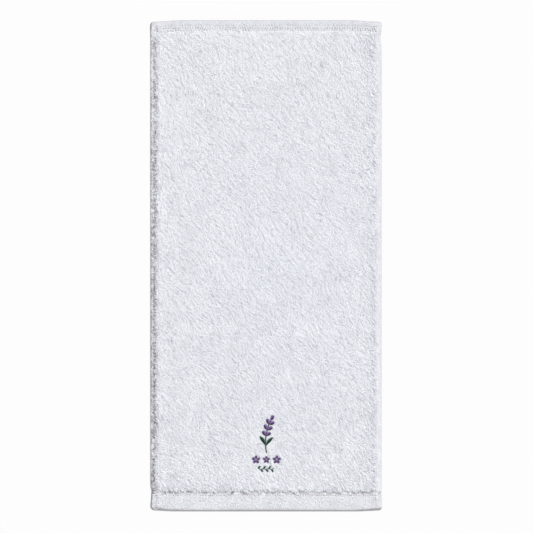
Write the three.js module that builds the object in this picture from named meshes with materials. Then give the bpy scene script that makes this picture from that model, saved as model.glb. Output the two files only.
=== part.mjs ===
// A bath towel lying flat with its face up: one length of white terry cloth, hemmed on all four edges.
// Millimetres. The underside lies on z = 0, +Y runs to the top hem and +X to the right of the face.
// The origin is the middle of the underside.

import * as THREE from 'three';

// Driving dimensions
const WIDTH = 660;
const LENGTH = 1400;
const PILE_HEIGHT = 8.4; // ground cloth and the pile of both faces
const HEM_HEIGHT = 4.6; // the cloth turned under twice and pressed by its stitching
const BODY_STEP = 23; // widest spacing of the grid lines in the pile
const RIM_HEIGHT = 2.2; // where the rounded edge reaches furthest out
const CORNER_RADIUS = 8;

// Each hem's top face, from its edge inwards: a row for each line of points.
const SIDE_HEM = [
  { inset: 0, height: RIM_HEIGHT },
  { inset: 1.6, height: HEM_HEIGHT - 0.5 },
  { inset: 4.5, height: HEM_HEIGHT + 0.6 },
  { inset: 10, height: HEM_HEIGHT + 0.5 },
  { inset: 14.5, height: HEM_HEIGHT },
  { inset: 17.5, height: HEM_HEIGHT - 0.6 },
  { inset: 22, height: PILE_HEIGHT - 0.6 },
  { inset: 30, height: PILE_HEIGHT },
];
const TOP_HEM = [
  { inset: 0, height: RIM_HEIGHT },
  { inset: 1.6, height: HEM_HEIGHT - 0.5 },
  { inset: 5, height: HEM_HEIGHT + 0.8 },
  { inset: 11, height: HEM_HEIGHT + 0.6 },
  { inset: 15, height: HEM_HEIGHT - 0.2 },
  { inset: 23, height: HEM_HEIGHT },
  { inset: 30, height: HEM_HEIGHT - 0.2 },
  { inset: 35, height: PILE_HEIGHT - 0.6 },
  { inset: 45, height: PILE_HEIGHT },
];
const BOTTOM_HEM = [
  { inset: 0, height: RIM_HEIGHT },
  { inset: 1.6, height: HEM_HEIGHT - 0.4 },
  { inset: 5, height: HEM_HEIGHT + 1 },
  { inset: 9, height: HEM_HEIGHT - 0.4 },
  { inset: 15, height: HEM_HEIGHT + 0.2 },
  { inset: 32, height: HEM_HEIGHT },
  { inset: 47, height: HEM_HEIGHT },
  { inset: 53, height: HEM_HEIGHT - 0.5 },
  { inset: 57, height: PILE_HEIGHT - 0.2 },
  { inset: 68, height: PILE_HEIGHT },
];

// The ends draw in towards the corners, along this reach from each side.
const END_BOWS = { top: { depth: 3.4, reach: 95 }, bottom: { depth: 2.8, reach: 75 } };
const EDGE_FADE = 60; // how far inside an edge its bends die out

// Where the stitching pulls a side edge in or lets it bulge out. Side -1 is the left edge and 1 the right.
const EDGE_BENDS = [
  { side: -1, y: 683, reach: 16, out: 1.3 },
  { side: -1, y: -641, reach: 12, out: -2.8 },
  { side: -1, y: -684, reach: 16, out: 0.5 },
  { side: 1, y: 652, reach: 20, out: -4 },
  { side: 1, y: -645, reach: 12, out: -1.5 },
  { side: 1, y: -682, reach: 16, out: 1.1 },
];

// The pile lies unevenly, in long low swells: wavelength, direction and height of each.
const SWELL_START = 30; // distance from the nearest edge
const SWELL_FADE = 50;
const SWELLS = [
  { length: 210, degrees: 34, height: 0.22 },
  { length: 143, degrees: -58, height: 0.2 },
  { length: 97, degrees: 81, height: 0.16 },
  { length: 79, degrees: 12, height: 0.12 },
];

// The line where the pile stops at an end hem wanders, and so do the grid lines within reach of it.
const PILE_EDGE_WANDER = { amount: 1.1, length: 61, reach: 12 };

const clamp01 = (value) => Math.min(Math.max(value, 0), 1);
const smooth = (value) => clamp01(value) ** 2 * (3 - 2 * clamp01(value));

// Height of a hem's top face at a distance in from its edge.
function hemHeight(hem, inset) {
  const next = hem.findIndex((row) => row.inset >= inset);
  if (next < 0) return PILE_HEIGHT;
  if (next === 0) return hem[0].height;
  const [low, high] = [hem[next - 1], hem[next]];
  const share = (inset - low.inset) / (high.inset - low.inset);
  return low.height + share * (high.height - low.height);
}

// Distances from the middle of the grid lines between two opposite edges.
function gridLines(size, firstHem, lastHem) {
  const start = firstHem.map((row) => row.inset - size / 2);
  const end = lastHem.map((row) => size / 2 - row.inset).reverse();
  const span = end[0] - start.at(-1);
  const count = Math.ceil(span / BODY_STEP);
  const middle = Array.from({ length: count - 1 }, (_, k) => start.at(-1) + (span * (k + 1)) / count);
  return [...start, ...middle, ...end];
}

// Height of the long swells, which die out before the hems.
function swell(x, y, edgeDistance) {
  let height = 0;
  for (const wave of SWELLS) {
    const turn = THREE.MathUtils.degToRad(wave.degrees);
    const along = x * Math.cos(turn) + y * Math.sin(turn);
    height += wave.height * Math.sin((2 * Math.PI * along) / wave.length + wave.degrees);
  }
  return height * smooth((edgeDistance - SWELL_START) / SWELL_FADE);
}

// How far the edge bends move a point sideways, out being away from the middle.
function sideBend(side, y, inset) {
  let out = 0;
  for (const bend of EDGE_BENDS) {
    if (bend.side === side) out += bend.out * Math.exp(-(((y - bend.y) / bend.reach) ** 2));
  }
  return out * (1 - smooth(inset / EDGE_FADE));
}

// Where a point of the flat grid goes: the outline's bends, the round corners and the face's relief.
function place(x, y) {
  const side = Math.sign(x) || 1;
  const end = y > 0 ? 'top' : 'bottom';
  const sideInset = WIDTH / 2 - Math.abs(x);
  const endInset = LENGTH / 2 - Math.abs(y);
  const wander = PILE_EDGE_WANDER.amount * Math.sin((2 * Math.PI * x) / PILE_EDGE_WANDER.length);
  const endHem = end === 'top' ? TOP_HEM : BOTTOM_HEM;
  const height = Math.min(hemHeight(SIDE_HEM, sideInset), hemHeight(endHem, endInset));

  // A square corner's lines are drawn in to the arc of its radius.
  let across = Math.max(CORNER_RADIUS - sideInset, 0);
  let along = Math.max(CORNER_RADIUS - endInset, 0);
  if (across > 0 && along > 0) {
    const scale = Math.max(across, along) / Math.hypot(across, along);
    [across, along] = [across * scale, along * scale];
  }
  const roundX = side * (Math.min(Math.abs(x), WIDTH / 2 - CORNER_RADIUS) + across);
  const roundY = Math.sign(y) * (Math.min(Math.abs(y), LENGTH / 2 - CORNER_RADIUS) + along);

  const bow = END_BOWS[end];
  const drawnIn = bow.depth * (1 - smooth(sideInset / bow.reach)) * (1 - smooth(endInset / EDGE_FADE));
  const pileLine = endHem.at(-2).inset;
  const nearLine = smooth(1 - Math.abs(endInset - pileLine) / PILE_EDGE_WANDER.reach);
  return new THREE.Vector3(
    roundX + side * sideBend(side, y, sideInset),
    roundY - Math.sign(y) * drawnIn + wander * nearLine,
    height + swell(x, y, Math.min(sideInset, endInset)),
  );
}

// One closed sheet: the top face on a grid, a rounded rim, and a flat underside just inside the rim.
function towelGeometry() {
  const columns = gridLines(WIDTH, SIDE_HEM, SIDE_HEM);
  const rows = gridLines(LENGTH, BOTTOM_HEM, TOP_HEM);
  const lastColumn = columns.length - 1;
  const lastRow = rows.length - 1;
  const points = rows.flatMap((y) => columns.map((x) => place(x, y)));
  const top = (i, j) => j * columns.length + i;
  const faces = [];
  for (let j = 0; j < lastRow; j += 1) {
    for (let i = 0; i < lastColumn; i += 1) {
      const corners = [top(i, j), top(i + 1, j), top(i + 1, j + 1), top(i, j + 1)];
      faces.push([corners[0], corners[1], corners[2]], [corners[0], corners[2], corners[3]]);
    }
  }

  // The rim runs round the grid, and each of its points stands over one of the underside.
  const rim = [
    ...columns.slice(0, -1).map((_, i) => [i, 0]),
    ...rows.slice(0, -1).map((_, j) => [lastColumn, j]),
    ...columns.slice(1).map((_, i) => [lastColumn - i, lastRow]),
    ...rows.slice(1).map((_, j) => [0, lastRow - j]),
  ];
  const base = new Map();
  const underside = rim.map(([i, j]) => {
    const inner = top(THREE.MathUtils.clamp(i, 1, lastColumn - 1), THREE.MathUtils.clamp(j, 1, lastRow - 1));
    if (!base.has(inner)) {
      base.set(inner, points.length);
      points.push(new THREE.Vector3(points[inner].x, points[inner].y, 0));
    }
    return base.get(inner);
  });
  rim.forEach(([i, j], k) => {
    const after = (k + 1) % rim.length;
    const [above, aboveNext] = [top(i, j), top(...rim[after])];
    const [below, belowNext] = [underside[k], underside[after]];
    faces.push([below, aboveNext, above]);
    if (below !== belowNext) faces.push([below, belowNext, aboveNext]);
  });
  const outline = [...base.values()];
  const flat = outline.map((index) => new THREE.Vector2(points[index].x, points[index].y));
  for (const [a, b, c] of THREE.ShapeUtils.triangulateShape(flat, [])) {
    faces.push([outline[a], outline[c], outline[b]]);
  }

  const geometry = new THREE.BufferGeometry().setFromPoints(points);
  geometry.setIndex(faces.flat());
  geometry.computeBoundingBox();
  const middle = geometry.boundingBox.getCenter(new THREE.Vector3());
  geometry.translate(-middle.x, -middle.y, 0);
  geometry.computeVertexNormals();
  return geometry;
}

const terry = new THREE.MeshStandardMaterial({ color: 0xe4e6ec, roughness: 0.95, metalness: 0 });

const towel = new THREE.Mesh(towelGeometry(), terry);
towel.name = 'towel';

const group = new THREE.Group();
group.add(towel);

export default group;
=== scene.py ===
# A white terry bath towel lying flat with its face up, seen from straight above.
# Metres, and millimetres in the tables of numbers. +Y runs to the top hem and +X to the right of the face.

import math

import bpy
import numpy as np
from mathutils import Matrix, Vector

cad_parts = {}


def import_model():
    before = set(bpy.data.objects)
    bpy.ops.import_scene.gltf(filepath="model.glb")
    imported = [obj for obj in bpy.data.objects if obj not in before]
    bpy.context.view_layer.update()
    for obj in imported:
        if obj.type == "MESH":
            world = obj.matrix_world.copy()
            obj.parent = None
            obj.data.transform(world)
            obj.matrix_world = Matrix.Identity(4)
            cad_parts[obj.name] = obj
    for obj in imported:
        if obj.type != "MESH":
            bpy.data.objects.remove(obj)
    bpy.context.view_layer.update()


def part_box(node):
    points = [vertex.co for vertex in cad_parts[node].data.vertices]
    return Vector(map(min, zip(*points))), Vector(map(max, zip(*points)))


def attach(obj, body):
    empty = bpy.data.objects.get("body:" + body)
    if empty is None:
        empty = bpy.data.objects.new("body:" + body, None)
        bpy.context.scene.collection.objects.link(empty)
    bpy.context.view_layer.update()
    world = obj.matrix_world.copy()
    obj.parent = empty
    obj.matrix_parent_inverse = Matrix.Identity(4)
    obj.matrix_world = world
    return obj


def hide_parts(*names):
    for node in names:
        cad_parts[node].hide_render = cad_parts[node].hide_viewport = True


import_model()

MM = 0.001
scene = bpy.context.scene

# Sizes of the towel
low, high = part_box("towel")
LENGTH = high[1] - low[1]
WIDTH = 660 * MM
CORNER_RADII = np.array([[12.5, 10], [10, 8]]) * MM  # bottom and top rows, left and right columns

# How the photograph was taken. The frame's width is that at the height of the face.
FRAME_WIDTH = 1516 * MM
FACE_HEIGHT = 6 * MM
AIM = (1.2 * MM, -1.3 * MM)
LENS = 85
SENSOR = 36

WHITE = (1, 1, 1, 1)

# Light: strengths, and in degrees the lamp's size, its tilt from overhead and its turn from the bottom end
ROOM_LIGHT = 0.78
ROOM_SEEN = 0.985
KEY_LIGHT = 1.95
KEY_SOFTNESS = 16
KEY_TILT = 58
KEY_TURN = 135
LIGHT_BOUNCES = 24

# Floor: its colour, the light that it gives off, its side and how far it lies below the towel
FLOOR_COLOUR = (0.15, 0.15, 0.15, 1)
FLOOR_GLOW = 0.817
FLOOR_SIZE = 40
FLOOR_DROP = 0.1 * MM


# Numbers. Starts, ends, reaches and cells are in millimetres.

def smooth(value):
    """0 below 0, 1 above 1 and an S curve between."""
    t = np.clip(value, 0, 1)
    return t * t * (3 - 2 * t)


def past(value, start, reach):
    """0 up to the start, and 1 from a reach further on."""
    return smooth((value - start * MM) / (reach * MM))


def before(value, end, reach):
    """1 up to the end, and 0 from a reach further on."""
    return 1 - past(value, end, reach)


def within(value, start, rise, end, fall):
    """1 from a rise past the start up to the end, and 0 from a fall further on."""
    return past(value, start, rise) * before(value, end, fall)


def whole(value):
    """The whole number below a value."""
    return np.floor(value).astype(np.int64)


def hashed(i, j, seed):
    """An even random number from 0 to 1 for each whole place. Its large numbers only mix bits."""
    mix = (i * 374761393 + j * 668265263 + seed * 974634777) & 0xFFFFFFFF
    mix = ((mix ^ (mix >> 13)) * 1274126177) & 0xFFFFFFFF
    mix = ((mix ^ (mix >> 16)) * 2246822519) & 0xFFFFFFFF
    return ((mix ^ (mix >> 15)) & 0xFFFFFF) / 0xFFFFFF


def noise(x, y, cell, seed):
    """Smooth noise from -1 to 1 with lumps about a cell across."""
    u, v = np.asarray(x) / (cell * MM), np.asarray(y) / (cell * MM)
    i, j = whole(u), whole(v)
    fu, fv = smooth(u - i), smooth(v - j)
    below = hashed(i, j, seed) * (1 - fu) + hashed(i + 1, j, seed) * fu
    above = hashed(i, j + 1, seed) * (1 - fu) + hashed(i + 1, j + 1, seed) * fu
    return 2 * (below * (1 - fv) + above * fv) - 1


def layered(x, y, layers):
    """Noise in layers: the strength, cell and seed of each."""
    return sum(strength * noise(x, y, cell, seed) for strength, cell, seed in layers)


def insets(x, y):
    """Distances in from the left, right, top and bottom edges."""
    return WIDTH / 2 + x, WIDTH / 2 - x, LENGTH / 2 - y, LENGTH / 2 + y


def insets_by_edge(x, y):
    return dict(zip(("left", "right", "top", "bottom"), insets(x, y)))


def marks(table, x, y):
    """The marks of a table, added up.

    A mark is its strength, its windows, and the cell and seed of any noise. A window is an edge and, in from
    it, the start, rise, end and fall of the part that shows, or its end and fall alone."""
    inset = insets_by_edge(x, y)
    total = 0
    for strength, windows, *varied in table:
        mark = strength * (noise(x, y, *varied) if varied else 1)
        for edge, *window in windows:
            mark = mark * (before if len(window) == 2 else within)(inset[edge], *window)
        total = total + mark
    return total


# Meshes

UV_NAME = "OFBake"
TONE_NAME = "tone"


def mesh_piece(name, points, triangles, material, uv, tone=None, rounded=True):
    """A piece of triangles that rides on the towel. uv and tone hold values for each point."""
    mesh = bpy.data.meshes.new(name)
    points = np.asarray(points, np.float32)
    triangles = np.asarray(triangles, np.int32)
    mesh.vertices.add(len(points))
    mesh.vertices.foreach_set("co", points.ravel())
    mesh.loops.add(triangles.size)
    mesh.loops.foreach_set("vertex_index", triangles.ravel())
    mesh.polygons.add(len(triangles))
    mesh.polygons.foreach_set("loop_start", np.arange(0, triangles.size, 3, dtype=np.int32))
    mesh.polygons.foreach_set("use_smooth", np.full(len(triangles), rounded))
    mesh.update(calc_edges=True)
    mesh.materials.append(material)
    layer = mesh.uv_layers.new(name=UV_NAME)
    layer.data.foreach_set("uv", np.asarray(uv, np.float32)[triangles.ravel()].ravel())
    if tone is not None:
        layer = mesh.attributes.new(TONE_NAME, "FLOAT", "POINT")
        layer.data.foreach_set("value", np.asarray(tone, np.float32).ravel())
    piece = bpy.data.objects.new(name, mesh)
    scene.collection.objects.link(piece)
    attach(piece, "root")
    return piece


# Materials

# Roughness and gloss
COTTON = (0.9, 0.2)
THREAD = (0.5, 0.35)
SURFACE = (0.8, 0)

# Colours of the pile: along a strand, painted darker at the root as shade; from dark strands to light ones,
# which carry the pile's painted light and shade; and from the ends to the middle
STRAND_COLOURS = [(0, (0.665, 0.67, 0.735)), (0.4, (0.946, 0.955, 0.983))]
SHADE_COLOURS = [(0, (0.592, 0.583, 0.64)), (1, (1.003, 1.005, 0.996))]
PLACE_COLOURS = [(0, (1.002, 1, 0.998)), (1, (0.998, 1, 1.002))]
BLUER_MIDDLE = {"Location": (-0.12, 0.027, 0), "Scale": (2, 1.33, 0)}

# The plain cloth's colours by its tone, with violet-grey painted shade where the tone is low, and its
# streaks
CLOTH_COLOURS = [(0, (0.02, 0.015, 0.03)), (0.3, (0.3, 0.29, 0.312)), (0.5, (0.495, 0.487, 0.52)),
                 (0.8, (0.775, 0.782, 0.825)), (1, (0.955, 0.965, 0.985))]
STREAKS = {"Rotation": (0, 0, math.radians(55)), "Scale": (70, 280, 1)}
STREAK_NOISE = {"Scale": 1, "Detail": 3}
STREAK_LIGHTNESS = {"From Min": 0.35, "From Max": 0.65, "To Min": 0.9}
STREAK_RELIEF = 0.6 * MM

# Darkest and lightest colour of each thread; a leaf's halves lie between them as painted shade and painted
# light
VIOLET = ((0.03, 0.012, 0.068), (0.42, 0.27, 0.6))
GREEN = ((0.001, 0.018, 0.01), (0.078, 0.2, 0.145))
GREY_GREEN = ((0.02, 0.08, 0.05), (0.15, 0.27, 0.215))


def set_inputs(node, inputs):
    """Gives a node's inputs their values, or links them to another node's output."""
    for name, value in inputs.items():
        if isinstance(value, bpy.types.NodeSocket):
            node.id_data.links.new(value, node.inputs[name])
        else:
            node.inputs[name].default_value = value


def add_node(tree, kind, inputs, **settings):
    node = tree.nodes.new("ShaderNode" + kind)
    for name, value in settings.items():
        setattr(node, name, value)
    set_inputs(node, inputs)
    return node.outputs


def new_material(name, finish):
    """A material, its nodes and its shader."""
    material = bpy.data.materials.new(name)
    material.use_nodes = True
    tree = material.node_tree
    shader = tree.nodes["Principled BSDF"]
    set_inputs(shader, dict(zip(("Roughness", "Specular IOR Level"), finish)))
    return material, tree, shader


def colour_ramp(tree, value, stops):
    """Colours by a value. A stop is its place and its colour."""
    node = tree.nodes.new("ShaderNodeValToRGB")
    elements = node.color_ramp.elements
    for element, (place, colour) in zip(elements, (stops[0], stops[-1])):
        element.position = place
        element.color = (*colour, 1)
    for place, colour in stops[1:-1]:
        elements.new(place).color = (*colour, 1)
    set_inputs(node, {"Fac": value})
    return node.outputs["Color"]


def multiplied(tree, first, second):
    return add_node(tree, "VectorMath", {0: first, 1: second}, operation="MULTIPLY")["Vector"]


def strand_place(tree):
    """How far along its strand a point lies, and the strand's shade."""
    uv = add_node(tree, "UVMap", {}, uv_map=UV_NAME)
    split = add_node(tree, "SeparateXYZ", {"Vector": uv["UV"]})
    return split["X"], split["Y"]


def towel_place(tree, inputs):
    """Where a point lies on the towel, scaled, turned and moved."""
    place = add_node(tree, "TexCoord", {})["Object"]
    return add_node(tree, "Mapping", {"Vector": place, **inputs})["Vector"]


def terry_material():
    """White cotton pile, painted darker at each strand's root as shade, and a little bluer around the
    towel's middle.
    """
    material, tree, shader = new_material("terry pile", COTTON)
    along, shade = strand_place(tree)
    nearness = add_node(tree, "TexGradient", {"Vector": towel_place(tree, BLUER_MIDDLE)},
                        gradient_type="SPHERICAL")
    colour = colour_ramp(tree, along, STRAND_COLOURS)
    colour = multiplied(tree, colour, colour_ramp(tree, shade, SHADE_COLOURS))
    colour = multiplied(tree, colour, colour_ramp(tree, nearness["Fac"], PLACE_COLOURS))
    set_inputs(shader, {"Base Color": colour})
    return material


def thread_material(name, darkest, lightest):
    """Embroidery thread with a slight gloss."""
    material, tree, shader = new_material(name, THREAD)
    colour = colour_ramp(tree, strand_place(tree)[1], [(0, darkest), (1, lightest)])
    set_inputs(shader, {"Base Color": colour})
    return material


def cloth_material():
    """The plain cloth of the hems: short slanting streaks, and violet-grey painted shade where its tone is
    low.
    """
    material, tree, shader = new_material("terry ground", COTTON)
    tone = add_node(tree, "Attribute", {}, attribute_name=TONE_NAME)["Fac"]
    streaks = add_node(tree, "TexNoise", {"Vector": towel_place(tree, STREAKS), **STREAK_NOISE})
    lightness = add_node(tree, "MapRange", {"Value": streaks["Fac"], **STREAK_LIGHTNESS})
    colour = add_node(tree, "VectorMath", {0: colour_ramp(tree, tone, CLOTH_COLOURS),
                                           "Scale": lightness["Result"]}, operation="SCALE")
    bump = add_node(tree, "Bump", {"Height": streaks["Fac"], "Distance": STREAK_RELIEF})
    set_inputs(shader, {"Base Color": colour["Vector"], "Normal": bump["Normal"]})
    return material


# The towel's outline

# The ends draw in towards the corners: depth at the corner and reach from each side.
TOP_BOW = (4.6 * MM, 95 * MM)
BOTTOM_BOW = (2.8 * MM, 75 * MM)
BOTTOM_TUCK = 1.2 * MM
SIDE_TUCK = 0.2 * MM
EDGE_FADE = 60

# Where the stitching pulls a side edge in or lets it bulge out: side, place along Y, reach, way out
EDGE_BENDS = [
    (-1, 683, 16, 0.6),
    (-1, -641, 9, -1.6),
    (-1, -657, 22, -2.3),
    (1, 652, 20, -4),
    (1, -645, 12, -1.5),
    (1, -682, 16, 1.1),
]


def bent(x, y):
    """Where points of the plain rectangle go when its edges bend and its corners round."""
    side, end = np.where(x < 0, -1, 1), np.where(y < 0, -1, 1)
    side_inset, end_inset = WIDTH / 2 - np.abs(x), LENGTH / 2 - np.abs(y)
    radius = CORNER_RADII[(end > 0).astype(int), (side > 0).astype(int)]
    across = np.maximum(radius - side_inset, 0)
    along = np.maximum(radius - end_inset, 0)
    both = (across > 0) & (along > 0)
    reach = np.where(both, np.hypot(across, along), 1)
    pull = np.where(both, np.maximum(across, along) / reach, 1)
    new_x = side * (np.minimum(np.abs(x), WIDTH / 2 - radius) + across * pull)
    new_y = end * (np.minimum(np.abs(y), LENGTH / 2 - radius) + along * pull)
    near_side = before(side_inset, 0, EDGE_FADE)
    for bend_side, *bend in EDGE_BENDS:
        place, spread, out = np.array(bend) * MM
        push = out * np.exp(-(((y - place) / spread) ** 2)) * near_side
        new_x = new_x + np.where(side == bend_side, side * push, 0)
    new_x = new_x - side * SIDE_TUCK * near_side
    depth, spread = (np.where(end > 0, *pair) for pair in zip(TOP_BOW, BOTTOM_BOW))
    drawn = depth * (1 - smooth(side_inset / spread)) + np.where(end < 0, BOTTOM_TUCK, 0)
    return new_x, new_y - end * drawn * before(end_inset, 0, EDGE_FADE)


# The hems

# Each hem: distance in from the edge, height of its face, and how white the cloth is there. That column also
# holds
# painted shade: the rims, most of all the left one, and the grooves are painted darker. A dark groove parts
# the hem from the pile, except on the sides near the ends, where only the rim is left.
LEFT_RIM = [
    (0, 1.6, 0.28), (1.2, 2.9, 0.3), (2.8, 4.2, 0.46), (4.4, 4.9, 0.68), (8, 5.1, 0.77), (20, 5.2, 0.82),
    (26, 5.2, 1),
]
LEFT_HEM = [
    (0, 1.6, 0.44), (1.2, 2.9, 0.49), (2.8, 4, 0.49), (4.4, 5, 0.45), (6.4, 5.1, 0.46), (8.2, 4.6, 0.4),
    (10, 3.2, 0.36), (12, 2.3, 0.36), (16, 2.4, 0.42), (19, 3.6, 0.62), (22, 4.8, 0.82), (26, 5.2, 0.965),
]
RIGHT_RIM = [
    (0, 2.3, 0.58), (0.8, 3.7, 0.62), (2.2, 4.6, 0.68), (4, 5, 0.73), (8, 5.1, 0.79), (20, 5.2, 0.82),
    (26, 5.2, 1),
]
RIGHT_HEM = [
    (0, 2.3, 0.62), (0.8, 3.7, 0.67), (2.2, 4.6, 0.72), (3.8, 5.1, 0.7), (5.2, 5.2, 0.73),
    (7.5, 5.3, 0.85), (12, 5.3, 0.86), (16, 5, 0.84), (18.5, 4.6, 0.78), (21, 4, 0.7), (24, 4, 0.68),
    (30, 5.2, 0.965),
]
TOP_HEM = [
    (0, 2.3, 0.44), (0.8, 3.6, 0.5), (2.2, 4.8, 0.64), (4.4, 5.2, 0.75), (9, 5.3, 0.77), (12.5, 4.9, 0.785),
    (17, 4.5, 0.81), (25, 4.4, 0.81), (30, 4.2, 0.83), (33, 4.6, 0.85), (38, 5.2, 0.965),
]
BOTTOM_HEM = [
    (0, 1.4, 0.5), (0.8, 2.2, 0.42), (2.6, 3.3, 0.4), (4.6, 4.5, 0.59), (7, 5.1, 0.73), (10, 5.2, 0.73),
    (15, 5.1, 0.745), (22, 5, 0.755), (44, 4.9, 0.755), (47, 4.6, 0.71), (49.5, 4.7, 0.74),
    (52, 4.2, 0.67), (54, 3, 0.55), (57.5, 2.6, 0.51), (61.5, 4.2, 0.74), (68, 5.2, 0.965),
]
# A side's groove runs down from the start and rise given here, in from the top, to the bottom band.
SIDE_HEMS = {"left": (LEFT_RIM, LEFT_HEM, (40, 24)), "right": (RIGHT_RIM, RIGHT_HEM, (30, 10))}
BOTTOM_BAND = (54, 4)
# The left groove by distance from the bottom end: how much closer to the edge it lies, and how much more
# painted shade darkens it.
LEFT_GROOVE = [
    (50, -3, 0), (60, -3, 1), (66, -3, 1), (88, 4, 0.8), (138, 4, 0.8), (148, 4, 0.3), (160, 0, 0),
    (1286, 0, 0), (1298, -1, 0), (1325, -1, 0), (1340, 0, 0),
]
# The grooves wander, the side ones change in depth, and the bottom one slants.
GROOVE_WANDER = [(3, 11, 71), (1.8, 32, 72), (1.3, 5, 75)]
GROOVE_DEPTH = 0.8
GROOVE_UNSTEADY = [(0.2, 30, 73)]
GROOVE_SLANT = 1.2 * MM / (WIDTH / 2)

# The bottom edge curls under further in places, and most towards its corners.
CURL_REACH = 10 * MM
EDGE_CURL = [(0.15, 43, 78)]
CORNER_CURL = [(0.75, [("left", 8, 110)]), (0.55, [("right", 8, 90)]), (0.6, [("left", 22, 22)])]

# Blotches, whose painted shade is strongest in the left and the bottom groove, and which die out at the rim
SOFT_BLOTCHES = [(0.2, 11, 74)]
PAINTED_GROOVE_SHADE = [(0.4, 8, 76), (0.95, 3.7, 77)]
LEFT_STRENGTH = 0.85
BOTTOM_GROOVE = (47, 4, 64, 4)
RIM_START = (1.5, 3)
LEFT_RIM_SHIFT = 1.3 * MM
# How much painted shade darkens the left groove
LEFT_GROOVE_PAINTED_SHADE = 0.3
# Painted light and painted shade: lighter and darker parts of the left rim and of the top hem's right end
CLOTH_PAINTED_LIGHT_AND_SHADE = [
    (-0.6, [("left", 0.5, 2.5, 6.2, 3), ("top", 40, 10, 95, 250)]),
    (0.22, [("left", 5.5, 2.5, 12, 4), ("bottom", 650, 200)]),
    (0.65, [("right", 17, 6), ("top", 24, 7, 41, 4)]),
    (-0.3, [("right", 17, 6), ("top", 12, 5, 41, 4)]),
]

# Stitch holes down the side hems in the end bands: in from the side, first and last from the end, spacing
HOLE_ROWS = [("left", "bottom", 16, 9, 45, 6.1), ("left", "bottom", 21, 12, 40, 8.8),
             ("right", "bottom", 18.5, 9, 45, 6.1), ("left", "top", 19.5, 13, 31, 6)]
HOLE_RADIUS = 1.5 * MM
HOLE_DEPTH = 1.3
# How much painted shade darkens the stitch holes and the pits
HOLE_PAINTED_SHADE = 0.9

# Rows of pits across the end hems: end, in from it, spacing, how far a pit strays, and depth. Each row
# starts further on. A pit's size is along and across its slant.
PIT_ROWS = [("top", 15.8, 7.7, 0.8, 0.9), ("top", 22.9, 7.1, 0.8, 1.4), ("top", 28.6, 7.4, 0.9, 1.25),
            ("bottom", 47.5, 6.6, 1.2, 1.1), ("bottom", 40, 8.5, 3, 0.6), ("bottom", 33, 7.7, 3, 0.5),
            ("bottom", 26, 8.9, 3, 0.5), ("bottom", 19, 8.1, 3, 0.55), ("bottom", 12, 8.6, 3, 0.5)]
PIT_SHIFT = 0.37
PIT_SEED = 90
PIT_SLANT = math.radians(-52)
PIT_SIZE = (2.1, 1.3)
PIT_STRENGTH = 0.8
PIT_UNEVEN = [(0.25, 26, 83)]
PIT_MARKS = [(0.8, [("right", 14, 40), ("top", 650, 1)])]
PIT_MARGIN = 14 * MM

# Where the pile is thin: a dip by its middle and radii, and a band down the right by its inset and width
DIP = np.array([283, 622, 27, 32]) * MM
DIP_STRENGTH = 0.75
DIP_UNEVEN = [(0.5, 9, 57)]
THIN_BAND = np.array([27, 9]) * MM
BAND_STRENGTH = 0.45
BAND_UNEVEN = [(0.5, 16, 53)]
# How much painted shade darkens the cloth in thin places
THIN_CLOTH_PAINTED_SHADE = 0.4


def profile(rows, inset, column):
    """A column of a table at distances in from the edge."""
    table = np.array(rows).T
    return np.interp(inset, table[0] * MM, table[column])


def left_groove(left, bottom):
    """How much closer to the edge the groove on the left lies, and how much more painted shade darkens it.
    """
    near = before(left, 20, 6)
    return profile(LEFT_GROOVE, bottom, 1) * MM * near, profile(LEFT_GROOVE, bottom, 2) * near


def stitch_holes(x, y):
    """1 in the middle of a stitch hole, fading to 0 around it."""
    inset = insets_by_edge(x, y)
    depth = np.zeros(np.shape(x))
    for side, end, place, first, last, spacing in HOLE_ROWS:
        from_side, from_end = inset[side] / MM - place, inset[end] / MM - first
        nearest = np.clip(np.round(from_end / spacing), 0, round((last - first) / spacing)) * spacing
        near = np.hypot(from_side, from_end - nearest) * MM / HOLE_RADIUS
        depth = np.maximum(depth, np.exp(-near ** 2))
    return depth


def pits(x, y):
    """1 in the middle of the deepest pits of the end hems, fading to 0 around each."""
    inset = insets_by_edge(x, y)
    depth = np.zeros(np.shape(x))
    for number, (end, place, spacing, stray, most) in enumerate(PIT_ROWS):
        seed = PIT_SEED + number
        index = whole(np.round(x / MM / spacing + PIT_SHIFT * number))
        for pit in (index - 1, index, index + 1):
            pit_x = (pit - PIT_SHIFT * number) * spacing + (hashed(pit, 0, seed) - 0.5) * 2 * stray
            pit_inset = place + (hashed(pit, 1, seed) - 0.5) * 2 * stray
            du = x / MM - pit_x
            dv = (pit_inset - inset[end] / MM) * (1 if end == "top" else -1)
            along = du * math.cos(PIT_SLANT) + dv * math.sin(PIT_SLANT)
            across = -du * math.sin(PIT_SLANT) + dv * math.cos(PIT_SLANT)
            shape = np.exp(-(along / PIT_SIZE[0]) ** 2 - (across / PIT_SIZE[1]) ** 2)
            depth = np.maximum(depth, shape * most * (0.5 + 0.5 * hashed(pit, 2, seed)))
    patchy = PIT_STRENGTH + layered(x, y, PIT_UNEVEN) + marks(PIT_MARKS, x, y)
    return np.minimum(depth * patchy, 1) * (np.minimum(inset["left"], inset["right"]) > PIT_MARGIN)


def thin_places(x, y):
    """How thin the pile is, from 0 to 1."""
    dip = np.exp(-((x - DIP[0]) / DIP[2]) ** 2 - ((y - DIP[1]) / DIP[3]) ** 2)
    dip = dip * (1 + layered(x, y, DIP_UNEVEN))
    band = np.exp(-((WIDTH / 2 - x - THIN_BAND[0]) / THIN_BAND[1]) ** 2)
    band = band * (0.5 + layered(x, y, BAND_UNEVEN)) * (1 - 0.5 * past(y, 0, 90))
    return np.maximum(DIP_STRENGTH * dip, BAND_STRENGTH * band)


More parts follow.
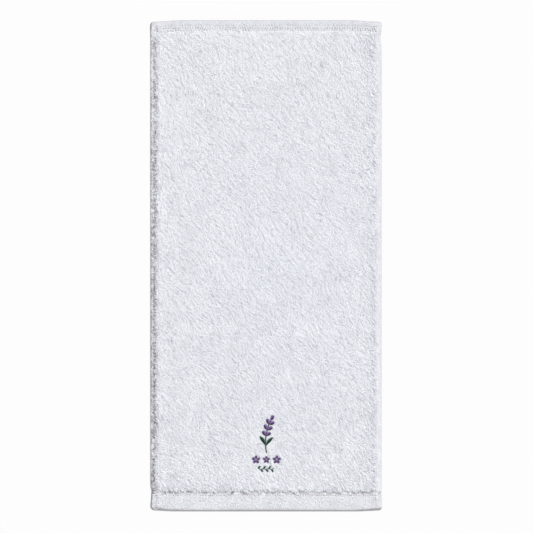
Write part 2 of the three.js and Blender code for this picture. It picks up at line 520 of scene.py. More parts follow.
def hem_face(x, y):
    """The cloth by its hems' tables: the height of its face in millimetres, and how white it is with painted
    shade.
    """
    left, right, top, bottom = insets(x, y)
    wander = MM * layered(x, y, GROOVE_WANDER)
    shift = left_groove(left, bottom)[0]
    deep = past(bottom, *BOTTOM_BAND) * (GROOVE_DEPTH + layered(x * 0, y, GROOVE_UNSTEADY))
    from_bottom = bottom + (wander - GROOVE_SLANT * x) * past(bottom, 45, 7)
    curl = layered(x, y * 0, EDGE_CURL) + marks(CORNER_CURL, x, y)
    from_bottom /= 1 + curl * (bottom < CURL_REACH)
    face = []
    for column in (1, 2):
        parts = [profile(TOP_HEM, top, column), profile(BOTTOM_HEM, from_bottom, column)]
        for name, inset in (("left", left), ("right", right)):
            rim, hem, start = SIDE_HEMS[name]
            grooved = past(top, *start) * deep
            moved = inset + (wander + shift) * past(inset, 2, 5)
            parts.append(profile(rim, inset, column) * (1 - grooved) + profile(hem, moved, column) * grooved)
        face.append(np.minimum.reduce(parts))
    return face


def blotches_and_painted_shade(x, y):
    """How much darker the cloth is than its hem's table says, or lighter where it is below 0, mostly as
    painted shade.
    """
    left, right, top, bottom = insets(x, y)
    grooves = np.maximum(LEFT_STRENGTH * before(left, 20, 6), within(bottom, *BOTTOM_GROOVE))
    blotch_and_shade = layered(x, y, SOFT_BLOTCHES) + grooves * layered(x, y, PAINTED_GROOVE_SHADE)
    blotch_and_shade *= past(np.minimum.reduce([left + LEFT_RIM_SHIFT, right, top, bottom]), *RIM_START)
    blotch_and_shade += LEFT_GROOVE_PAINTED_SHADE * left_groove(left, bottom)[1] * past(left, 2, 3)
    return blotch_and_shade + marks(CLOTH_PAINTED_LIGHT_AND_SHADE, x, y)


def cloth_face(x, y):
    """The cloth without its pile: the height of its face, and how white it is with its painted shade."""
    height, white = hem_face(x, y)
    white = np.maximum(white, 0.05) ** np.maximum(1 + blotches_and_painted_shade(x, y), 0.2)
    holes = np.maximum(stitch_holes(x, y), pits(x, y))
    thin = thin_places(x, y) * past(WIDTH / 2 - x, 17, 6)
    # Painted shade darkens the holes, the pits and the thin places.
    white = white * (1 - HOLE_PAINTED_SHADE * holes) * (1 - THIN_CLOTH_PAINTED_SHADE * thin)
    return (height - HOLE_DEPTH * holes) * MM, white


# The cloth's mesh

# Lines of its grid: those nearest an edge, the start of the even ones, and for each set of lines the reach
# of the hems at its first and last edge, the spacing there and that in the middle
RIM_LINES = [0, 0.8, 2.2, 4]
HEM_LINES = 5.4
ROWS = (72, 40, 1.5, 2.4)
BAND_COLUMNS = (30, 30, 1.5, 1.5)
BODY_COLUMNS = (27, 31, 1.5, 40)
UNDERSIDE_COLUMNS = (10, 10, 4, 60)

# The face and the underside are uneven, and the underside curves up at the rim.
FACE_UNEVEN = [(0.25, 9, 5), (0.2, 31, 6)]
UNDERSIDE_HEIGHT = 0.25
UNDERSIDE_UNEVEN = [(0.2, 7, 8)]
UNDERSIDE_RIM = [(0, 1), (0.8, 0.35), (3, 0)]
UNDERSIDE_TONE = 0.8


def lines_between(size, spacings):
    """Places from -size / 2 to size / 2, close together over a hem at each end."""
    first, last, hem_step, body_step = np.array(spacings) * MM
    edge = np.array(RIM_LINES) * MM
    inner = np.linspace(-size / 2 + first, size / 2 - last, round((size - first - last) / body_step))
    start, end = (np.concatenate([edge, np.arange(HEM_LINES * MM, reach - hem_step / 2, hem_step)])
                  for reach in (first, last))
    return np.concatenate([start - size / 2, inner, size / 2 - end[::-1]])


def strip_between(below, above):
    """Triangles between two rows of points. A row is the points' numbers and their places across."""
    (ids, xs), (next_ids, next_xs) = below, above
    if len(xs) == len(next_xs):
        a, b, c, d = ids[:-1], ids[1:], next_ids[1:], next_ids[:-1]
        return np.concatenate([np.stack([a, b, c], 1), np.stack([a, c, d], 1)])
    i, j, triangles = 0, 0, []
    while i < len(xs) - 1 or j < len(next_xs) - 1:
        if j == len(next_xs) - 1 or (i < len(xs) - 1 and xs[i + 1] <= next_xs[j + 1]):
            triangles.append((ids[i], ids[i + 1], next_ids[j]))
            i += 1
        else:
            triangles.append((ids[i], next_ids[j + 1], next_ids[j]))
            j += 1
    return np.array(triangles)


def build_cloth(material):
    """The ground cloth with its turned hems, as one closed sheet that is finest in the two end bands."""
    rows = lines_between(LENGTH, ROWS)
    fine, coarse, under = (lines_between(WIDTH, spacings)
                           for spacings in (BAND_COLUMNS, BODY_COLUMNS, UNDERSIDE_COLUMNS))
    count, points, uv, tones, tops, bases = 0, [], [], [], [], []
    for number, row in enumerate(rows):
        in_band = row < ROWS[0] * MM - LENGTH / 2 or row > LENGTH / 2 - ROWS[1] * MM
        x = fine if in_band else coarse
        y = np.full(len(x), row)
        height, tone = cloth_face(x, y)
        inset = np.minimum.reduce(insets(x, y))
        height = height + MM * layered(x, y, FACE_UNEVEN) * past(inset, 0, 6)
        points.append(np.stack([*bent(x, y), height], 1))
        uv.append(np.stack([(x + WIDTH / 2) / LENGTH, (y + LENGTH / 2) / LENGTH], 1))
        tones.append(tone)
        ids = count + np.arange(len(x))
        tops.append((ids, x))
        count += len(x)
        if number in (0, len(rows) - 1):
            bases.append((ids, x))
            continue
        # The underside lies on the surface, curves up to the rim and shares the rim's points.
        x = under[1:-1]
        y = np.full(len(x), row)
        rim = profile(UNDERSIDE_RIM, np.minimum.reduce(insets(x, y)), 1)
        height = MM * (UNDERSIDE_HEIGHT + layered(x, y, UNDERSIDE_UNEVEN)) + rim * cloth_face(x, y)[0]
        points.append(np.stack([*bent(x, y), height], 1))
        uv.append(np.stack([(x + WIDTH / 2) / LENGTH + 0.5, (y + LENGTH / 2) / LENGTH], 1))
        tones.append(np.full(len(x), UNDERSIDE_TONE))
        bases.append((np.concatenate([ids[:1], count + np.arange(len(x)), ids[-1:]]), under))
        count += len(x)
    faces = [strip_between(a, b) for a, b in zip(tops[:-1], tops[1:])]
    faces += [strip_between(a, b)[:, ::-1] for a, b in zip(bases[:-1], bases[1:])]
    points, faces, uv, tones = (np.concatenate(rows) for rows in (points, faces, uv, tones))
    return mesh_piece("ground_cloth", points, faces, material, uv, tones)


# Strands and stitches

MOST_TRIANGLES = 190000
UP = np.array([0, 0, 1.0])
RING = np.radians([90, 210, 330])
STRAND_THICKNESS = 0.75
STRAND_FACES = [(0, 2, 1), (0, 3, 2), (0, 1, 3), (1, 2, 4), (2, 3, 4), (3, 1, 4)]
# A strand's shade is 0 to 1, and below 0 for the few painted dark as shade, to look like a gap.
DARKEST = -0.75
# Where each ring of a stitch lies along it, how full it is there and how much of its rise it has
STITCH_RINGS = [(0.08, 0.8, 0.5), (0.32, 1, 0.95), (0.68, 1, 0.95), (0.92, 0.8, 0.5)]


def ring_points(middle, sideways, lifted, radius, thickness=1):
    """Three points around the middle of a strand."""
    return [middle + (lifted * math.sin(corner) * thickness - sideways * math.cos(corner)) * radius
            for corner in RING]


def uv_rows(part, shades):
    """UV rows at a part of the way along, one for each of the shades."""
    return [np.stack([np.full(len(shade), part), shade], 1) for shade in shades]


def unit(vectors):
    return vectors / np.linalg.norm(vectors, axis=1, keepdims=True)


def joined_piece(name, points, uv, pattern, material):
    """One piece of many copies of a pattern of faces. points and uv hold a row of points for each copy."""
    offsets = np.arange(len(points))[:, None, None] * points.shape[1]
    faces = (np.array(pattern)[None] + offsets).reshape(-1, 3)
    return mesh_piece(name, points.reshape(-1, 3), faces, material, uv.reshape(-1, 2), rounded=False)


def strand_pieces(name, root, middle, tip, width, shade, material):
    """Closed strands, pointed at both ends and three-sided in the middle, in as many pieces as they need."""
    shade = (shade - DARKEST) / (1 - DARKEST)
    along = unit(tip - root)
    sideways = unit(np.cross(along, UP))
    ring = ring_points(middle, sideways, np.cross(sideways, along), (width / 2)[:, None], STRAND_THICKNESS)
    points = np.stack([root, *ring, tip], 1)
    sides = uv_rows(0.5, [shade - 0.02, shade, shade + 0.02])
    uv = np.stack([*uv_rows(0.02, [shade]), *sides, *uv_rows(0.98, [shade])], 1)
    order = np.argsort(-root[:, 1], kind="stable")
    groups = np.array_split(order, math.ceil(len(order) * len(STRAND_FACES) / MOST_TRIANGLES))
    labels = [name] if len(groups) == 1 else [f"{name}_{number + 1}" for number in range(len(groups))]
    return [joined_piece(label, points[chosen], uv[chosen], STRAND_FACES, material)
            for label, chosen in zip(labels, groups)]


def stitch_piece(name, stitches, width, material):
    """Threads that arch from one place to another. A stitch is x, y, z of each end, its rise and shade."""
    start, end, rise, shade = stitches[:, 0:3], stitches[:, 3:6], stitches[:, 6:7], stitches[:, 7]
    along = unit(end - start)
    sideways = np.cross(along, UP)
    points, uv = [start], uv_rows(0.02, [shade])
    for part, fullness, lift in STITCH_RINGS:
        middle = start + (end - start) * part + UP * (rise * lift)
        points += ring_points(middle, sideways, np.cross(sideways, along), fullness * width / 2)
        uv += uv_rows(part, [shade - 0.02, shade, shade + 0.02])
    points.append(end)
    uv += uv_rows(0.98, [shade])
    pattern = [(0, 2, 1), (0, 3, 2), (0, 1, 3)]
    for ring in (1, 4, 7):
        for k in range(3):
            a, b = ring + k, ring + (k + 1) % 3
            pattern += [(a, b, b + 3), (a, b + 3, a + 3)]
    pattern += [(10, 11, 13), (11, 12, 13), (12, 10, 13)]
    return joined_piece(name, np.stack(points, 1), np.stack(uv, 1), pattern, material)


# The pile

# Its nap's direction, its strands, and the size of a clump along and across the nap
NAP = math.radians(-48)
STRAND_SPACING = 2.66 * MM
STRAND_LENGTH = 11.5 * MM
STRAND_WIDTH = 2.2 * MM
CLUMP = (16 * MM, 10.5 * MM)

# Where its roots start, in from each edge, along a ragged line
PILE_INSET = {"left": 18 * MM, "right": 23 * MM, "top": 29 * MM, "bottom": 61.5 * MM}
RAGGED = [(2.2, 8, 21), (3.6, 17, 22)]
RAGGED_TOP = 0.4
RAGGED_BOTTOM = 0.8
GROOVE_SHARE = 1.6
DIP_THINNING = 0.45
# Tufts over the bottom hem: their spacing, how far they stray, the depth of the gaps between them, and how
# far they hang out. A tuft's radius is a share of the spacing.
HANGING_TUFTS = np.array([14, 4, 7, 3.5]) * MM
TUFT_RADIUS = 0.6
TUFT_SEED = 24

# Turns of its direction, in radians: from place to place, clump to clump and strand to strand
SWIRL = [(0.35, 130, 41), (0.3, 45, 42)]
CLUMP_TURN = 0.8
CURLED_TURN = 0.5
STRAND_TURN = 0.5
# Where strands are straight and short at the bottom hem, and where they curl at the top hem
STRAIGHT_END = (66, 14)
CURLED_END = (34, 70)
# How far strands are drawn to the middle of their clump: the least, and what a leaning clump adds
CLUMP_PULL = (0.55, 0.35)
# How much its clumps and creases are moved about
WARP_X = [(9, 38, 43)]
WARP_Y = [(9, 38, 44)]
# Creases along its nap: their stretch, noise and width, where they show, and how much they thin the pile
CREASE_STRETCH = 2.1
CREASES = [(1, 17, 54)]
CREASE_WIDTH = 0.12
CREASE_PLACES = [(1, 22, 55)]
CREASE_START = (0.05, 0.3)
CREASE_THINNING = 0.5
# Outermost strands on the left that fall over the groove. They are fewer and straighter near the bottom.
ASTRAY_REACH = 6 * MM
ASTRAY_ANGLE = math.radians(-175)
ASTRAY_TURN = 0.35
ASTRAY_SHARE = 0.35
ASTRAY_UNEVEN = [(0.3, 14, 47)]
CROWDED_END = (130, 30)
CROWDED_FEWER = 0.25
CROWDED_STRAIGHTER = 0.2
# Shares of the full length, width and rise, from the least to the most
LENGTHS = (0.7, 1.25)
CLUMP_LENGTHS = (0.85, 1.15)
ASTRAY_LENGTHS = (0.35, 0.85)
SHORTER_AT_BOTTOM = 0.35
WIDTHS = (0.75, 1.2)
TIP_RISES = (0.55, 1.05)
# How high strands rise, in millimetres: the least, and what a high clump, a place between clumps, a crease
# and chance add
RISE = (2.4, 1.3, -0.25, -0.6, 0.45)
ROOT_DEPTH = 0.4 * MM
# Where a strand's middle is along it, and how much of the pull it has
MIDDLE = (0.42, 0.55)
# Between clumps: how far from their middles it starts, and over how far it grows
BETWEEN = (0.4, 0.25)
# A few long and high strands are painted dark, as shade that looks like gaps.
GAP_SHARE = 0.013
GAP_UNEVEN = [(0.013, 22, 56)]
GAP_LENGTH = 1.45
GAP_RISE = 0.5 * MM
GAP_PAINTED_SHADE = -0.6
# How far strands stop before the embroidery, and the shortest that is left, as shares of their length
STOP_SHORT = 0.12
SHORTEST = 0.2

# How light the pile is: its middle and contrast, soft patches, painted light that slopes across and along
# the towel, painted shade in thin places, and marks of painted light and shade at the edges
MIDDLE_SHADE = 0.83
SHADE_CONTRAST = 0.6
PATCHES = [(0.12, 45, 46), (0.15, 15, 48), (0.2, 6.5, 49)]
PAINTED_LIGHT_SLOPE = (0.12, 0.33)
THIN_PILE_PAINTED_SHADE = -0.6
PILE_PAINTED_LIGHT_AND_SHADE = [
    (0.18, [("left", 20, 8, 28, 30)]),
    (0.45, [("left", 24, 16)], 8, 52),
    (-0.15, [("top", 30, 14)]),
    (0.4, [("right", 15, 12, 27, 12)], 6, 51),
    (-0.15, [("right", 15, 12, 27, 12), ("bottom", 760, 0.01)]),
    (0.55, [("bottom", 77, 14)], 9, 50),
    (-0.15, [("bottom", 77, 14)]),
    (0.35, [("bottom", 77, 14), ("left", 290, 60, 560, 60)]),
    (-0.1, [("bottom", 66, 6, 77, 14)]),
]

# Shades of single strands: their spread, the power that makes most of them light, and the mean it gives.
# Then what the painted light of the halo, and the painted shade between clumps and in a crease add.
STRAND_SHADES = (0.6, 0.4, 0.714)
HALO_PAINTED_LIGHT = 0.25
BETWEEN_PAINTED_SHADE = -0.12
CREASE_PAINTED_SHADE = -0.3
SHADE_LIMITS = (0.03, 0.97)


def shaken_grid(rng, spacing):
    """Random places all over the towel, one to each square of a grid."""
    xs = np.arange(-WIDTH / 2, WIDTH / 2, spacing)
    ys = np.arange(-LENGTH / 2, LENGTH / 2, spacing)
    x, y = (grid.ravel() for grid in np.meshgrid(xs, ys))
    return x + rng.uniform(-0.5, 0.5, len(x)) * spacing, y + rng.uniform(-0.5, 0.5, len(y)) * spacing


def tuft_gaps(x):
    """How much further in the pile stops between the tufts that hang over the bottom hem."""
    spacing, stray, depth, out = HANGING_TUFTS
    tuft = whole(x / spacing)
    nearest = np.full(len(x), np.inf)
    gap = np.zeros(len(x))
    for near in (tuft - 1, tuft, tuft + 1):
        middle = (near + hashed(near, 0, TUFT_SEED)) * spacing
        distance = np.abs(x - middle) / spacing
        gap = np.where(distance < nearest, stray * hashed(near, 1, TUFT_SEED), gap)
        nearest = np.minimum(nearest, distance)
    return gap + depth * (1 - np.sqrt(1 - np.minimum(nearest / TUFT_RADIUS, 1) ** 2)) - out


def nap_places(x, y):
    """Places along and across the nap, moved about a little."""
    moved_x = x + MM * layered(x, y, WARP_X)
    moved_y = y + MM * layered(x, y, WARP_Y)
    along = moved_x * math.cos(NAP) + moved_y * math.sin(NAP)
    return along, moved_y * math.cos(NAP) - moved_x * math.sin(NAP)


def creases(x, y):
    """1 along the creases, and 0 away from them."""
    along, across = nap_places(x, y)
    lines = 1 - smooth(np.abs(layered(along, CREASE_STRETCH * across, CREASES)) / CREASE_WIDTH)
    return lines * smooth((layered(x, y, CREASE_PLACES) - CREASE_START[0]) / CREASE_START[1])


def pile_places(rng):
    """Where the strands start: up to a ragged line at each hem, and fewer in creases and thin places."""
    x, y = shaken_grid(rng, STRAND_SPACING)
    left, right, top, bottom = insets(x, y)
    ragged = MM * layered(x, y, RAGGED)
    kept = left > PILE_INSET["left"] + ragged - GROOVE_SHARE * left_groove(left, bottom)[0]
    kept &= right > PILE_INSET["right"] + ragged
    kept &= top > PILE_INSET["top"] + ragged * RAGGED_TOP
    kept &= bottom > PILE_INSET["bottom"] + ragged * RAGGED_BOTTOM + tuft_gaps(x)
    kept &= rng.uniform(0, 1, len(x)) > DIP_THINNING * thin_places(x, y)
    x, y = x[kept], y[kept]
    kept = rng.uniform(0, 1, len(x)) > CREASE_THINNING * creases(x, y)
    return x[kept], y[kept]


def nearest_clump(along, across):
    """The way to the middle of the clump that each place belongs to, and two random numbers of the clump."""
    u, v = along / CLUMP[0], across / CLUMP[1]
    i0, j0 = whole(u), whole(v)
    best = np.full(len(u), np.inf)
    found = np.zeros((4, len(u)))
    for di in (-1, 0, 1):
        for dj in (-1, 0, 1):
            i, j = i0 + di, j0 + dj
            du = i + 0.1 + 0.8 * hashed(i, j, 31) - u
            dv = j + 0.1 + 0.8 * hashed(i, j, 32) - v
            distance = du * du + dv * dv
            nearer = distance < best
            best = np.where(nearer, distance, best)
            new = np.stack([du * CLUMP[0], dv * CLUMP[1], hashed(i, j, 33), hashed(i, j, 34)])
            found = np.where(nearer, new, found)
    return found


def flat_direction(angle):
    return np.stack([np.cos(angle), np.sin(angle), np.zeros(len(angle))], 1)


def pile_shade(x, y):
    """How light the pile is, apart from what differs from strand to strand, with its painted light and
    shade.
    """
    light_slope = PAINTED_LIGHT_SLOPE[0] * x / WIDTH + PAINTED_LIGHT_SLOPE[1] * y / LENGTH
    lighter = layered(x, y, PATCHES) + marks(PILE_PAINTED_LIGHT_AND_SHADE, x, y) + light_slope + THIN_PILE_PAINTED_SHADE * thin_places(x, y)
    return MIDDLE_SHADE + SHADE_CONTRAST * lighter


def build_pile(material, cover, halo):
    """Soft strands that lie over each other down and to the right, drawn together in clumps.

    cover tells which places the embroidery takes, and halo where the pile around it gets a painted
    highlight."""
    rng = np.random.default_rng(7)
    x, y = pile_places(rng)
    count = len(x)
    left, _, top, bottom = insets(x, y)
    crease = creases(x, y)
    to_along, to_across, lift, lean = nearest_clump(*nap_places(x, y))
    # Between the clumps the pile lies lower, and it is painted darker as shade.
    between = smooth((np.hypot(to_along / CLUMP[0], to_across / CLUMP[1]) - BETWEEN[0]) / BETWEEN[1])
    straight, curled = before(bottom, *STRAIGHT_END), before(top, *CURLED_END)
    angle = NAP + layered(x, y, SWIRL) * (1 + curled) + (lean - 0.5) * (CLUMP_TURN + CURLED_TURN * curled)
    angle += rng.normal(0, STRAND_TURN, count) * (1 - 0.5 * straight)
    crowded = before(bottom, *CROWDED_END)
    often = ASTRAY_SHARE + layered(x * 0, y, ASTRAY_UNEVEN) - CROWDED_FEWER * crowded
    astray = (left < PILE_INSET["left"] + ASTRAY_REACH) & (rng.uniform(0, 1, count) < often)
    spread = ASTRAY_TURN - CROWDED_STRAIGHTER * crowded
    angle = np.where(astray, ASTRAY_ANGLE + rng.normal(0, spread, count), angle)
    length = STRAND_LENGTH * rng.uniform(*LENGTHS, count) * np.interp(lift, (0, 1), CLUMP_LENGTHS)
    length = length * (1 - SHORTER_AT_BOTTOM * straight)
    length = np.where(astray, length * rng.uniform(*ASTRAY_LENGTHS, count), length)
    rise = RISE[0] + RISE[1] * lift + RISE[2] * between + RISE[3] * crease
    rise = (rise + rng.normal(0, RISE[4], count)) * MM
    gap = rng.uniform(0, 1, count) < GAP_SHARE + layered(x, y, GAP_UNEVEN)
    length = np.where(gap, GAP_LENGTH * length, length)
    rise = np.where(gap, rise + GAP_RISE, rise)
    direction, sideways = flat_direction(angle), flat_direction(angle + math.pi / 2)
    pull = (to_across * (CLUMP_PULL[0] + CLUMP_PULL[1] * lean))[:, None] * sideways
    root = np.stack([x, y, cloth_face(x, y)[0] - ROOT_DEPTH], 1)
    middle = root + direction * (length * MIDDLE[0])[:, None] + pull * MIDDLE[1] + UP * rise[:, None]
    tip_rise = rise * rng.uniform(*TIP_RISES, count)
    tip = root + direction * length[:, None] + pull + UP * tip_rise[:, None]
    # A strand stops short of the embroidery, and one that starts under it is left out.
    reach = np.ones(count)
    for part in (1, 0.8, 0.6, 0.4, 0.2, 0):
        at = root + (tip - root) * part
        reach = np.where(cover(at[:, 0], at[:, 1]), part - STOP_SHORT, reach)
    free = reach > SHORTEST
    root, middle, tip, between, crease, gap = (
        values[free] for values in (root, middle, tip, between, crease, gap))
    reach = reach[free, None]
    middle, tip, count = root + (middle - root) * reach, root + (tip - root) * reach, len(root)
    width = STRAND_WIDTH * rng.uniform(*WIDTHS, count)
    spread, power, mean = STRAND_SHADES
    shade = pile_shade(root[:, 0], root[:, 1]) + spread * (rng.uniform(0, 1, count) ** power - mean)
    # Painted light in the halo, painted shade between clumps and in creases
    shade += HALO_PAINTED_LIGHT * halo(root[:, 0], root[:, 1]) + BETWEEN_PAINTED_SHADE * between + CREASE_PAINTED_SHADE * crease
    # Gap strands are painted dark as shade.
    shade = np.where(gap, GAP_PAINTED_SHADE, np.clip(shade, *SHADE_LIMITS))
    return strand_pieces("pile", root, middle, tip, width, shade, material)


# Fuzz on the hems

# How far it reaches in from each edge, how far a few strands reach into the grooves and how few they are
FUZZ_REACH = {"left": 5 * MM, "right": 18 * MM, "top": 14 * MM, "bottom": 49 * MM}
GROOVE_FUZZ_REACH = {"left": 20 * MM, "bottom": 61 * MM}
GROOVE_FUZZ_SHARE = 0.3
FUZZ_SPACING = 3.3 * MM
FUZZ_MARGIN = 2.5 * MM
LOWER_FUZZ_ANGLE = math.radians(-28)
FUZZ_SWIRL = [(0.5, 30, 61)]
FUZZ_SHADE = 0.7
FUZZ_PATCHES = [(0.2, 9, 62)]
# Loose threads across the groove at the bottom left corner
LOOSE_THREADS = 36
LOOSE_X = (3, 22)
LOOSE_Y = (44, 66)
LOOSE_LENGTH = (8, 17)
# The ends of all of them stay this far inside the outline and over the bottom edge.
END_MARGIN = 1.5 * MM
BOTTOM_MARGIN = 7.5 * MM


def build_fuzz(material):
    """Short flat strands on the hems, which keep a little of their nap."""
    rng = np.random.default_rng(11)
    x, y = shaken_grid(rng, FUZZ_SPACING)
    inset = insets_by_edge(x, y)
    kept, in_groove = (np.logical_or.reduce([inset[edge] < reach for edge, reach in reaches.items()])
                       for reaches in (FUZZ_REACH, GROOVE_FUZZ_REACH))
    kept |= in_groove & (rng.uniform(0, 1, len(x)) < GROOVE_FUZZ_SHARE)
    kept &= np.minimum.reduce(list(inset.values())) > FUZZ_MARGIN
    kept &= rng.uniform(0, 1, len(x)) > 0.8 * left_groove(inset["left"], inset["bottom"])[1]
    x, y = x[kept], y[kept]
    angle = np.where(y < 0, LOWER_FUZZ_ANGLE, NAP) + layered(x, y, FUZZ_SWIRL) + rng.normal(0, 0.35, len(x))
    length = rng.uniform(5, 9, len(x)) * MM
    x = np.concatenate([x, rng.uniform(*LOOSE_X, LOOSE_THREADS) * MM - WIDTH / 2])
    y = np.concatenate([y, rng.uniform(*LOOSE_Y, LOOSE_THREADS) * MM - LENGTH / 2])
    angle = np.concatenate([angle, rng.normal(0, 0.08, LOOSE_THREADS)])
    length = np.concatenate([length, rng.uniform(*LOOSE_LENGTH, LOOSE_THREADS) * MM])
    end_x, end_y = x + np.cos(angle) * length, y + np.sin(angle) * length
    inside = np.minimum.reduce(insets(end_x, end_y)) > END_MARGIN
    inside &= np.minimum(y, end_y) > BOTTOM_MARGIN - LENGTH / 2
    x, y, end_x, end_y = (values[inside] for values in (x, y, end_x, end_y))
    rise = rng.uniform(0.2, 0.9, len(x)) * MM
    # Each strand's root, middle and tip: its place, and how far it lies over the cloth
    strand = [(x, y, -0.5 * MM), ((x + end_x) / 2, (y + end_y) / 2, rise), (end_x, end_y, rise * 0.2)]
    strand = [np.stack([*bent(px, py), cloth_face(px, py)[0] + above], 1) for px, py, above in strand]
    width = rng.uniform(1.2, 2.4, len(x)) * MM
    shade = FUZZ_SHADE + layered(x, y, FUZZ_PATCHES) + rng.uniform(-0.27, 0.27, len(x))
    return strand_pieces("hem_fuzz", *strand, width, np.clip(shade, *SHADE_LIMITS), material)


# The embroidery, in millimetres from the middle of the towel

BASE_HEIGHT = 7.4
THREAD_WIDTH = 0.75
THREAD_STEP = 0.5
THREAD_VARIETY = 0.06
STEM = [(1.6, -531.5), (-0.9, -520), (-1.3, -509), (-1.2, -496), (-0.4, -482), (3.4, -466), (8.2, -449.5),
        (13.6, -439)]
STEM_WIDTH = 3.3
STEM_SHADE = 0.4
LINE_ROUNDINGS = 60

# A leaf's form is where it is widest and how pointed it is. Its shades are those of its dark and light half,
# painted shade on the half that faces down and painted light on the other.
PLAIN_FORM = (0.9, 0.75)
BUD = {"length": 16.6, "width": 10.5, "shades": (0.12, 0.82), "form": (1.12, 0.52)}
BUD_PAIRS = [(8.3, -449.8, 109, 21), (2.9, -465.6, 115, 27), (-0.6, -482.4, 122, 34)]
TOP_BUD = {**BUD, "length": 15.77, "shades": (0.2, 0.75)}
TOP_BUD_PLACE = ((13.6, -439), 65)
LEAF = {"length": 32, "width": 9.6, "shades": (0.12, 0.72), "form": (1.15, 0.9)}
LEAVES = [(-2, -510.6, 122, -2.2), (-0.6, -511.6, 49, 2.4)]
# A leaf's stitches: where they lie along it, how they slant by its half width, how far over its middle and
# behind it they start, how they rise, and how deep their ends lie
LEAF_PARTS = (0.02, 0.97)
STITCH_SLANT = 0.22
STITCH_START = (0.3, 0.1)
STITCH_RISE = (0.35, 0.1)
STITCH_DEPTH = 0.5

# Blossoms: the middle and radius of each, and its petals' start, length and width as shares of the radius
BLOSSOMS = [(-28.5, -550.4, 12.6), (1, -550.4, 10.8), (30.5, -550.4, 12.6)]
PETALS = 5
PETAL = (0.14, 0.86, 0.62)
PETAL_SHADES = (0.3, 0.6)
VINE = [(-22.5, -575.5), (-15, -578.5), (-7.5, -575.5), (0, -578.5), (7.5, -575.5), (15, -578.5),
        (23, -575.5)]
VINE_WIDTH = 2
VINE_SHADE = 0.5
VINE_LEAF = {"length": 9.5, "width": 5.4, "shades": (0.3, 0.75)}
VINE_SLOPE = 48


def leaf_stitches(rng, base, degrees, length, width, shades, form=PLAIN_FORM, bow=0):
    """Satin stitches from a leaf's middle line to its edges. The half that faces down is painted darker, as
    shade.
    """
    turn = math.radians(degrees)
    ahead, aside = np.array([math.cos(turn), math.sin(turn)]), np.array([-math.sin(turn), math.cos(turn)])
    part = np.linspace(*LEAF_PARTS, round(length / THREAD_STEP))
    bowed = 4 * bow * part * (1 - part)
    spine = np.array(base) + ahead * (part * length)[:, None] + aside * bowed[:, None]
    half = width / 2 * np.sin(math.pi * part ** form[0]) ** form[1]
    level = np.full(len(part), BASE_HEIGHT)
    stitches = []
    for side in (-1, 1):
        edge = spine + aside * (side * half)[:, None] + ahead * (STITCH_SLANT * half)[:, None]
        start = spine - aside * (side * STITCH_START[0]) - ahead * STITCH_START[1]
        # Painted shade on the half that faces down, painted light on the other, and darker towards the base
        shade = shades[0] if side * aside[1] < 0 else shades[1]
        shade = shade + 0.3 * (part - 0.5) + rng.normal(0, THREAD_VARIETY, len(part))
        rise = STITCH_RISE[0] + STITCH_RISE[1] * half
        stitches.append(np.column_stack([start, level + STITCH_DEPTH, edge, level - STITCH_DEPTH, rise,
                                         np.clip(shade, *SHADE_LIMITS)]))
    return stitches


def line_stitches(rng, points, width, shade):
    """Short stitches side by side across a line with rounded corners, like a cord."""
    points = np.array(points, float)
    lengths = np.concatenate([[0], np.cumsum(np.linalg.norm(np.diff(points, axis=0), axis=1))])
    at = np.arange(0, lengths[-1], THREAD_STEP)
    x, y = (np.interp(at, lengths, points[:, k]) for k in (0, 1))
    for _ in range(LINE_ROUNDINGS):
        x[1:-1], y[1:-1] = (x[:-2] + 2 * x[1:-1] + x[2:]) / 4, (y[:-2] + 2 * y[1:-1] + y[2:]) / 4
    ahead = unit(np.stack([np.gradient(x), np.gradient(y)], 1))
    across = np.stack([-ahead[:, 1], ahead[:, 0]], 1) * width / 2 + ahead * 0.25 * width
    middle = np.stack([x, y], 1)
    level, rise = np.full(len(at), BASE_HEIGHT - 0.3), np.full(len(at), 0.6)
    shades = np.clip(shade + rng.normal(0, THREAD_VARIETY, len(at)), 0.05, 0.95)
    return [np.column_stack([middle - across, level, middle + across, level, rise, shades])]


def draw_embroidery():
    """The stitches of the sprig and of the ornament under it, by piece."""
    rng = np.random.default_rng(17)
    buds, leaves, blossoms = [], [], []
    stem = line_stitches(rng, STEM, STEM_WIDTH, STEM_SHADE)
    for x, y, left, right in BUD_PAIRS:
        for degrees in (left, right):
            buds += leaf_stitches(rng, (x, y), degrees, **BUD)
    buds += leaf_stitches(rng, *TOP_BUD_PLACE, **TOP_BUD)
    for x, y, degrees, bow in LEAVES:
        leaves += leaf_stitches(rng, (x, y), degrees, bow=bow, **LEAF)
    for x, y, radius in BLOSSOMS:
        start, length, width = (radius * share for share in PETAL)
        for petal in range(PETALS):
            degrees = 90 + 360 / PETALS * petal
            turn = math.radians(degrees)
            base = (x + math.cos(turn) * start, y + math.sin(turn) * start)
            blossoms += leaf_stitches(rng, base, degrees, length, width, PETAL_SHADES)
    garland = line_stitches(rng, VINE, VINE_WIDTH, VINE_SHADE)
    for number, place in enumerate(VINE[:-1]):
        garland += leaf_stitches(rng, place, VINE_SLOPE if number % 2 == 0 else -VINE_SLOPE, **VINE_LEAF)
    drawn = {"sprig_stem": stem, "sprig_buds": buds, "sprig_leaves": leaves,
             "blossom_row": blossoms, "leaf_garland": garland}
    scale = np.array([MM] * 7 + [1])
    return {name: np.concatenate(parts) * scale for name, parts in drawn.items()}


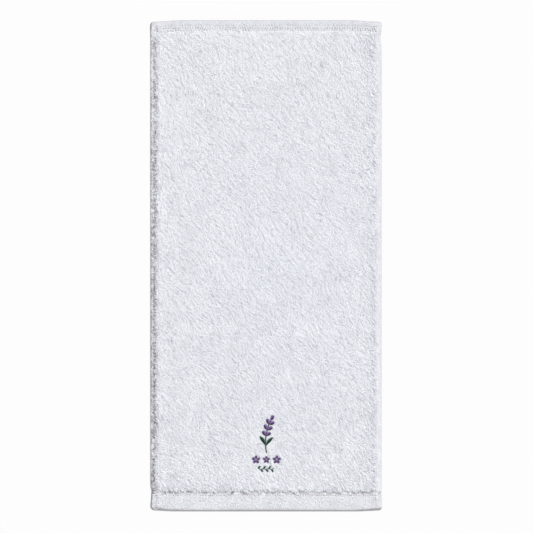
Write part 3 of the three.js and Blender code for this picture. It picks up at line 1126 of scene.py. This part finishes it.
def covered_places(drawn, margin):
    """A test of which places lie under the embroidery or within a margin of it, in whole millimetres."""
    every = np.concatenate(list(drawn.values()))
    steps = np.linspace(0, 1, 14)[:, None, None]
    places = (every[:, 0:2] + (every[:, 3:5] - every[:, 0:2]) * steps).reshape(-1, 2)
    corner = places.min(0) - (margin + 2) * MM
    size = np.ceil((places.max(0) - corner) / MM).astype(int) + margin + 3
    taken = np.zeros(size, bool)
    i, j = ((places - corner) / MM).astype(int).T
    for di in range(-margin, margin + 1):
        for dj in range(-margin, margin + 1):
            taken[i + di, j + dj] = True

    def cover(x, y):
        a, b = ((x - corner[0]) / MM).astype(int), ((y - corner[1]) / MM).astype(int)
        inside = (a >= 0) & (b >= 0) & (a < size[0]) & (b < size[1])
        return inside & taken[np.clip(a, 0, size[0] - 1), np.clip(b, 0, size[1] - 1)]

    return cover


def build_embroidery(drawn):
    violet = thread_material("violet thread", *VIOLET)
    green = thread_material("green thread", *GREEN)
    grey_green = thread_material("stem thread", *GREY_GREEN)
    threads = {"sprig_stem": grey_green, "sprig_buds": violet, "sprig_leaves": green,
               "blossom_row": violet, "leaf_garland": green}
    return [stitch_piece(name, drawn[name], THREAD_WIDTH * MM, thread) for name, thread in threads.items()]


# Surroundings

def build_floor():
    """A white surface. It gives off part of its light, so the shadow at the towel's edge stays faint."""
    material, _, shader = new_material("white surface", SURFACE)
    set_inputs(shader, {"Base Color": FLOOR_COLOUR, "Emission Color": WHITE,
                              "Emission Strength": FLOOR_GLOW})
    bpy.ops.mesh.primitive_plane_add(size=FLOOR_SIZE, location=(0, 0, -FLOOR_DROP))
    floor = bpy.context.object
    floor.name = "floor"
    floor.data.materials.append(material)
    return floor


def add_light():
    """A bright even room and one large soft lamp to the upper right."""
    world = bpy.data.worlds.new("studio")
    world.use_nodes = True
    tree = world.node_tree
    # The room is seen as white as the floor, and lights the towel a little less.
    seen = add_node(tree, "LightPath", {})["Is Camera Ray"]
    strength = add_node(tree, "MapRange",
                        {"Value": seen, "To Min": ROOM_LIGHT, "To Max": ROOM_SEEN})["Result"]
    set_inputs(tree.nodes["Background"], {"Color": WHITE, "Strength": strength})
    scene.world = world
    lamp = bpy.data.lights.new("key", "SUN")
    lamp.energy = KEY_LIGHT
    lamp.angle = math.radians(KEY_SOFTNESS)
    key = bpy.data.objects.new("key", lamp)
    key.rotation_euler = (math.radians(KEY_TILT), 0, math.radians(KEY_TURN))
    scene.collection.objects.link(key)
    # Light goes on from strand to strand in white pile many times before it is lost.
    scene.cycles.max_bounces = LIGHT_BOUNCES
    scene.cycles.diffuse_bounces = LIGHT_BOUNCES


def add_camera():
    data = bpy.data.cameras.new("camera")
    data.lens = LENS
    data.sensor_width = SENSOR
    camera = bpy.data.objects.new("camera", data)
    camera.location = (*AIM, FRAME_WIDTH * LENS / SENSOR + FACE_HEIGHT)
    scene.collection.objects.link(camera)
    scene.camera = camera


scene.view_settings.view_transform = "Standard"
add_camera()
floor = build_floor()
add_light()
cloth = build_cloth(cloth_material())
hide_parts("towel")
terry = terry_material()
drawn = draw_embroidery()
sewn = build_embroidery(drawn)
pile = build_pile(terry, covered_places(drawn, 0), covered_places(drawn, 6)) + build_fuzz(terry)
